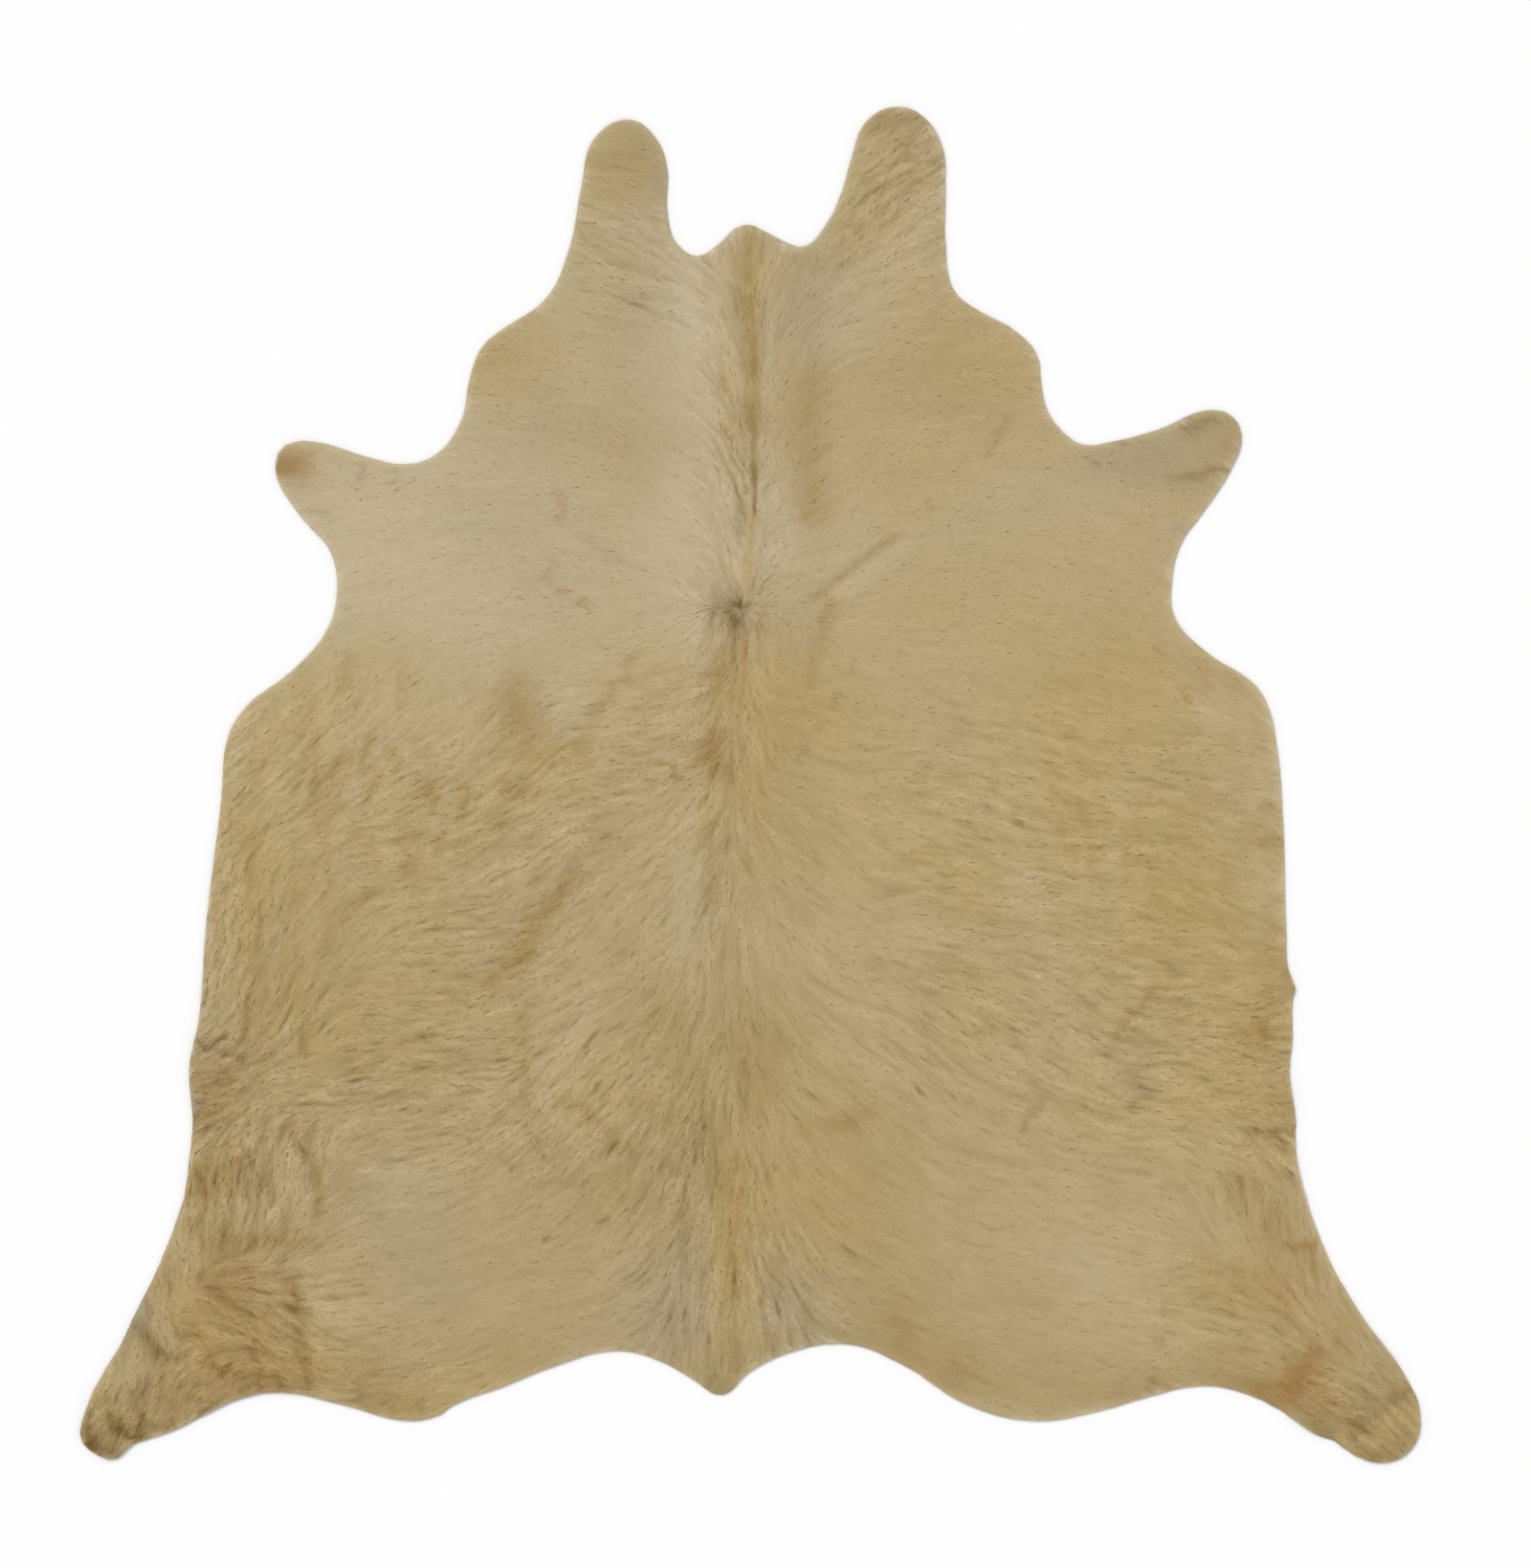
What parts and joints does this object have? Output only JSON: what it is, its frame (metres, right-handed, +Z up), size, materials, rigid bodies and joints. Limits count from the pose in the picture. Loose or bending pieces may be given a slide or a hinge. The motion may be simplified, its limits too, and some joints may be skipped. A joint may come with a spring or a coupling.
{
  "type": "cowhide rug",
  "caption": "Whole hair-on cowhide, cream coloured, cut with its neck flaps, legs and tail root, lying flat with the hair side up.",
  "frame": {"origin": "on the floor, under the middle of the hide's box", "axes": "+X across the hide towards the right legs as seen from above, +Y along the spine towards the neck, +Z up out of the hair side"},
  "size_m": [2.1, 2.125, 0.0155],
  "materials": {
    "hair_coat": "short lying cream hair with ochre and grey patches, dull natural sheen"
  },
  "bodies": {
    "root": {"cowhide": "hair_coat"}
  },
  "joints": []
}
